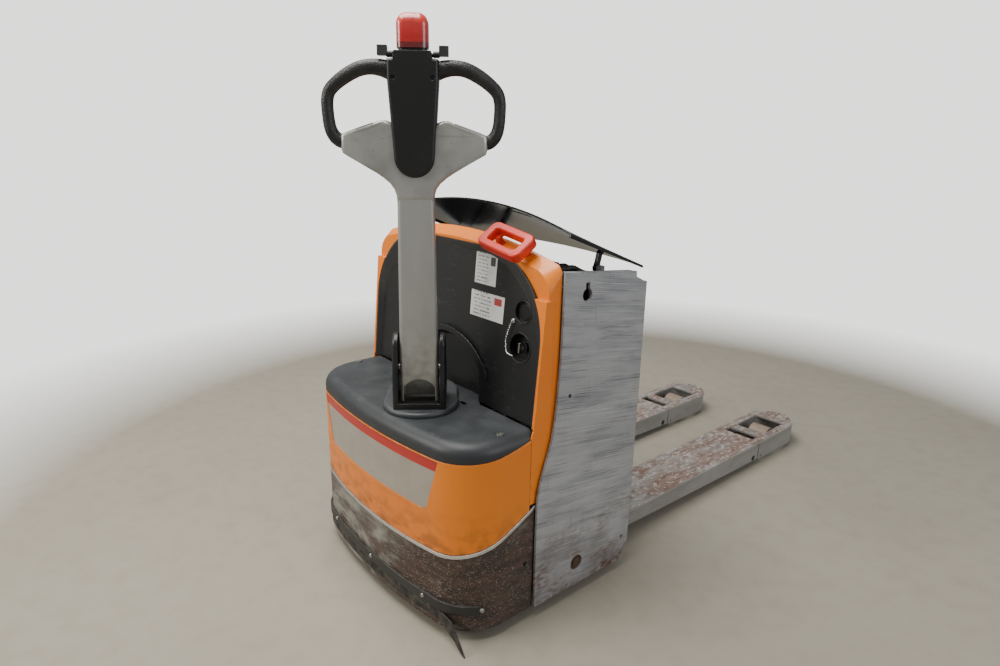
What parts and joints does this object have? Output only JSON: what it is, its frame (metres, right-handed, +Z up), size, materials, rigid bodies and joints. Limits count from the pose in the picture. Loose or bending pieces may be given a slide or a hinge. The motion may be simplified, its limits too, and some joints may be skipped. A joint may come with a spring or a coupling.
{
  "type": "electric pallet truck",
  "caption": "Pedestrian electric pallet truck with a steered tiller, orange hooped console and battery box on two lifting forks, battery cover propped ajar.",
  "frame": {"origin": "on the floor, under the middle of the truck's overall plan box", "axes": "+Z up, +Y towards the fork tips, +X to the right seen from the operator's end"},
  "size_m": [0.72, 1.7844, 1.369],
  "materials": {
    "bare_steel": "machined",
    "battery_case": "moulded",
    "bezel_grey": "fine texture",
    "black_box": "anodised",
    "black_cover": "moulded, satin",
    "black_strip": "moulded",
    "bright_trim": "satin",
    "button_grey": "moulded",
    "button_yellow": "moulded",
    "cable_rubber": "smooth",
    "cap_black": "satin",
    "cast_hub": "as cast",
    "caster_tread": "polyurethane",
    "column_alu": "satin anodised",
    "console_black": "fine texture",
    "cylinder_black": "satin",
    "dark_plastic": "moulded",
    "deck_plastic": "grained",
    "drive_tread": "polyurethane",
    "emblem": "satin",
    "fork_paint": "worn enamel",
    "frame_black": "satin",
    "gear_casting": "as cast",
    "grey_paint": "semi-gloss enamel, scuffed",
    "grip_rubber": "textured",
    "head_black": "moulded",
    "head_silver": "painted silver-grey",
    "key_steel": "nickel plated",
    "linkage_paint": "satin",
    "motor_black": "satin",
    "orange_shell": "glossy moulded",
    "plate_paint": "semi-gloss enamel, scratched",
    "pump_alu": "cast",
    "ram_chrome": "hard chrome",
    "red_lens": "translucent",
    "rivet_steel": "zinc plated",
    "roller_tread": "polyurethane",
    "skirt_rubber": "matt",
    "stop_red": "moulded",
    "yoke_black": "satin",
    "zinc_steel": "zinc plated"
  },
  "bodies": {
    "chassis": {"drive_frame": "frame_black", "apron": "grey_paint", "apron_rim": "bright_trim", "rubber_skirt": "skirt_rubber", "guard_strip": "black_strip", "screws_and_rivets": "rivet_steel", "bonnet": "orange_shell", "emblem_plate": "emblem", "deck_cover": "deck_plastic", "console_bezel": "bezel_grey", "console_panel": "console_black", "console_hoop": "orange_shell", "battery_gauge": "dark_plastic", "key_switch": "dark_plastic", "lift_cylinders": "cylinder_black", "power_pack": "pump_alu", "controller": "black_box", "steering_bearing": "bare_steel"},
    "drive_unit": {"gearbox": "gear_casting", "drive_motor": "motor_black", "steering_cap": "cap_black", "tiller_yoke": "yoke_black", "tiller_pin": "bare_steel"},
    "drive_wheel": {"drive_hub": "cast_hub", "drive_tyre": "drive_tread"},
    "tiller": {"tiller_column": "column_alu", "tiller_head": "head_silver", "head_cover": "head_black", "grips": "grip_rubber"},
    "butterfly": {"butterfly_switch": "dark_plastic"},
    "belly_button": {"reverse_button": "red_lens"},
    "lift_key": {"lift_button": "button_grey"},
    "lower_key": {"lower_button": "button_grey"},
    "horn_key": {"horn_button": "button_yellow"},
    "load_frame": {"side_plate_left": "plate_paint", "side_plate_right": "plate_paint", "battery_box": "grey_paint", "battery": "battery_case", "battery_cables": "cable_rubber", "fork_left": "fork_paint", "fork_right": "fork_paint", "lift_rams": "ram_chrome"},
    "cover": {"battery_cover": "black_cover"},
    "bell_crank": {"cross_shaft": "bare_steel"},
    "emergency_stop": {"stop_handle": "stop_red"},
    "ignition_key": {"key": "key_steel"},
    "caster_left": {"caster_fork_left": "zinc_steel"},
    "caster_wheel_left": {"caster_wheel_left": "caster_tread"},
    "rod_left": {"push_rod_left": "linkage_paint"},
    "arm_left": {"load_arm_left": "linkage_paint"},
    "bogie_left": {"bogie_left": "linkage_paint"},
    "roller_left_rear": {"roller_left_rear": "roller_tread"},
    "roller_left_front": {"roller_left_front": "roller_tread"},
    "caster_right": {"caster_fork_right": "zinc_steel"},
    "caster_wheel_right": {"caster_wheel_right": "caster_tread"},
    "rod_right": {"push_rod_right": "linkage_paint"},
    "arm_right": {"load_arm_right": "linkage_paint"},
    "bogie_right": {"bogie_right": "linkage_paint"},
    "roller_right_rear": {"roller_right_rear": "roller_tread"},
    "roller_right_front": {"roller_right_front": "roller_tread"}
  },
  "joints": [
    {"name": "lift", "type": "slide", "parent": "chassis", "child": "load_frame", "axis": [0, 0, 1], "range_m": [0, 0.125]},
    {"name": "steering", "type": "hinge", "parent": "chassis", "child": "drive_unit", "pos_m": [0, -0.6728, 0.3], "axis": [0, 0, 1], "range_deg": [-142.4, 37.6]},
    {"name": "drive_wheel_spin", "type": "hinge", "parent": "drive_unit", "child": "drive_wheel", "pos_m": [0, -0.6728, 0.115], "axis": [0.6101, 0.7923, 0], "continuous": true},
    {"name": "tiller_tilt", "type": "hinge", "parent": "drive_unit", "child": "tiller", "pos_m": [0.07685, -0.73198, 0.6], "axis": [0.6101, 0.7923, 0], "range_deg": [0, 75], "stiffness_Nm_per_rad": 38, "springref_deg": -20.05},
    {"name": "butterfly_turn", "type": "hinge", "parent": "tiller", "child": "butterfly", "pos_m": [0.07685, -0.73198, 1.289], "axis": [0.6101, 0.7923, 0], "range_deg": [-30, 30], "stiffness_Nm_per_rad": 0.35},
    {"name": "belly_button_press", "type": "slide", "parent": "tiller", "child": "belly_button", "axis": [0, 0, -1], "range_m": [0, 0.005], "stiffness_N_per_m": 1500, "springref_m": -0.003},
    {"name": "lift_key_press", "type": "slide", "parent": "tiller", "child": "lift_key", "axis": [0.7923, -0.6101, 0], "range_m": [0, 0.0022], "stiffness_N_per_m": 600, "springref_m": -0.0015},
    {"name": "lower_key_press", "type": "slide", "parent": "tiller", "child": "lower_key", "axis": [0.7923, -0.6101, 0], "range_m": [0, 0.0022], "stiffness_N_per_m": 600, "springref_m": -0.0015},
    {"name": "horn_key_press", "type": "slide", "parent": "tiller", "child": "horn_key", "axis": [0.7923, -0.6101, 0], "range_m": [0, 0.0022], "stiffness_N_per_m": 600, "springref_m": -0.0015},
    {"name": "caster_swivel_left", "type": "hinge", "parent": "chassis", "child": "caster_left", "pos_m": [-0.258, -0.6728, 0.13], "axis": [0, 0, 1], "continuous": true},
    {"name": "caster_spin_left", "type": "hinge", "parent": "caster_left", "child": "caster_wheel_left", "pos_m": [-0.258, -0.6448, 0.05], "axis": [1, 0, 0], "continuous": true},
    {"name": "caster_swivel_right", "type": "hinge", "parent": "chassis", "child": "caster_right", "pos_m": [0.258, -0.6728, 0.13], "axis": [0, 0, 1], "continuous": true},
    {"name": "caster_spin_right", "type": "hinge", "parent": "caster_right", "child": "caster_wheel_right", "pos_m": [0.258, -0.6448, 0.05], "axis": [1, 0, 0], "continuous": true},
    {"name": "key_turn", "type": "hinge", "parent": "chassis", "child": "ignition_key", "pos_m": [0.265, -0.58376, 0.66511], "axis": [0, -0.9956, 0.0941], "range_deg": [0, 90]},
    {"name": "emergency_stop_pull", "type": "slide", "parent": "chassis", "child": "emergency_stop", "axis": [0.1266, -0.5878, 0.7991], "range_m": [0, 0.02]},
    {"name": "cover_hinge", "type": "hinge", "parent": "load_frame", "child": "cover", "pos_m": [0, -0.2698, 0.805], "axis": [-1, 0, 0], "range_deg": [-15.5, 70]},
    {"name": "bell_crank_turn", "type": "hinge", "parent": "load_frame", "child": "bell_crank", "pos_m": [0, -0.3678, 0.032], "axis": [-1, 0, 0], "range_deg": [0, 55.05]},
    {"name": "rod_level_left", "type": "hinge", "parent": "bell_crank", "child": "rod_left", "pos_m": [-0.196, -0.38165, 0.05861], "axis": [1, 0, 0], "range_deg": [0, 55.05]},
    {"name": "arm_turn_left", "type": "hinge", "parent": "load_frame", "child": "arm_left", "pos_m": [-0.196, 0.5422, 0.032], "axis": [-1, 0, 0], "range_deg": [0, 55.05]},
    {"name": "bogie_level_left", "type": "hinge", "parent": "arm_left", "child": "bogie_left", "pos_m": [-0.196, 0.6922, 0.037], "axis": [1, 0, 0], "range_deg": [0, 55.05]},
    {"name": "roller_spin_left_rear", "type": "hinge", "parent": "bogie_left", "child": "roller_left_rear", "pos_m": [-0.196, 0.6462, 0.037], "axis": [1, 0, 0], "continuous": true},
    {"name": "roller_spin_left_front", "type": "hinge", "parent": "bogie_left", "child": "roller_left_front", "pos_m": [-0.196, 0.7382, 0.037], "axis": [1, 0, 0], "continuous": true},
    {"name": "rod_level_right", "type": "hinge", "parent": "bell_crank", "child": "rod_right", "pos_m": [0.196, -0.38165, 0.05861], "axis": [1, 0, 0], "range_deg": [0, 55.05]},
    {"name": "arm_turn_right", "type": "hinge", "parent": "load_frame", "child": "arm_right", "pos_m": [0.196, 0.5422, 0.032], "axis": [-1, 0, 0], "range_deg": [0, 55.05]},
    {"name": "bogie_level_right", "type": "hinge", "parent": "arm_right", "child": "bogie_right", "pos_m": [0.196, 0.6922, 0.037], "axis": [1, 0, 0], "range_deg": [0, 55.05]},
    {"name": "roller_spin_right_rear", "type": "hinge", "parent": "bogie_right", "child": "roller_right_rear", "pos_m": [0.196, 0.6462, 0.037], "axis": [1, 0, 0], "continuous": true},
    {"name": "roller_spin_right_front", "type": "hinge", "parent": "bogie_right", "child": "roller_right_front", "pos_m": [0.196, 0.7382, 0.037], "axis": [1, 0, 0], "continuous": true}
  ],
  "couplings": [
    {"joint": "bell_crank_turn", "follows": "lift", "rad_per_m": 7.679},
    {"joint": "rod_level_left", "follows": "lift", "rad_per_m": 7.679},
    {"joint": "arm_turn_left", "follows": "lift", "rad_per_m": 7.679},
    {"joint": "bogie_level_left", "follows": "lift", "rad_per_m": 7.679},
    {"joint": "rod_level_right", "follows": "lift", "rad_per_m": 7.679},
    {"joint": "arm_turn_right", "follows": "lift", "rad_per_m": 7.679},
    {"joint": "bogie_level_right", "follows": "lift", "rad_per_m": 7.679}
  ]
}
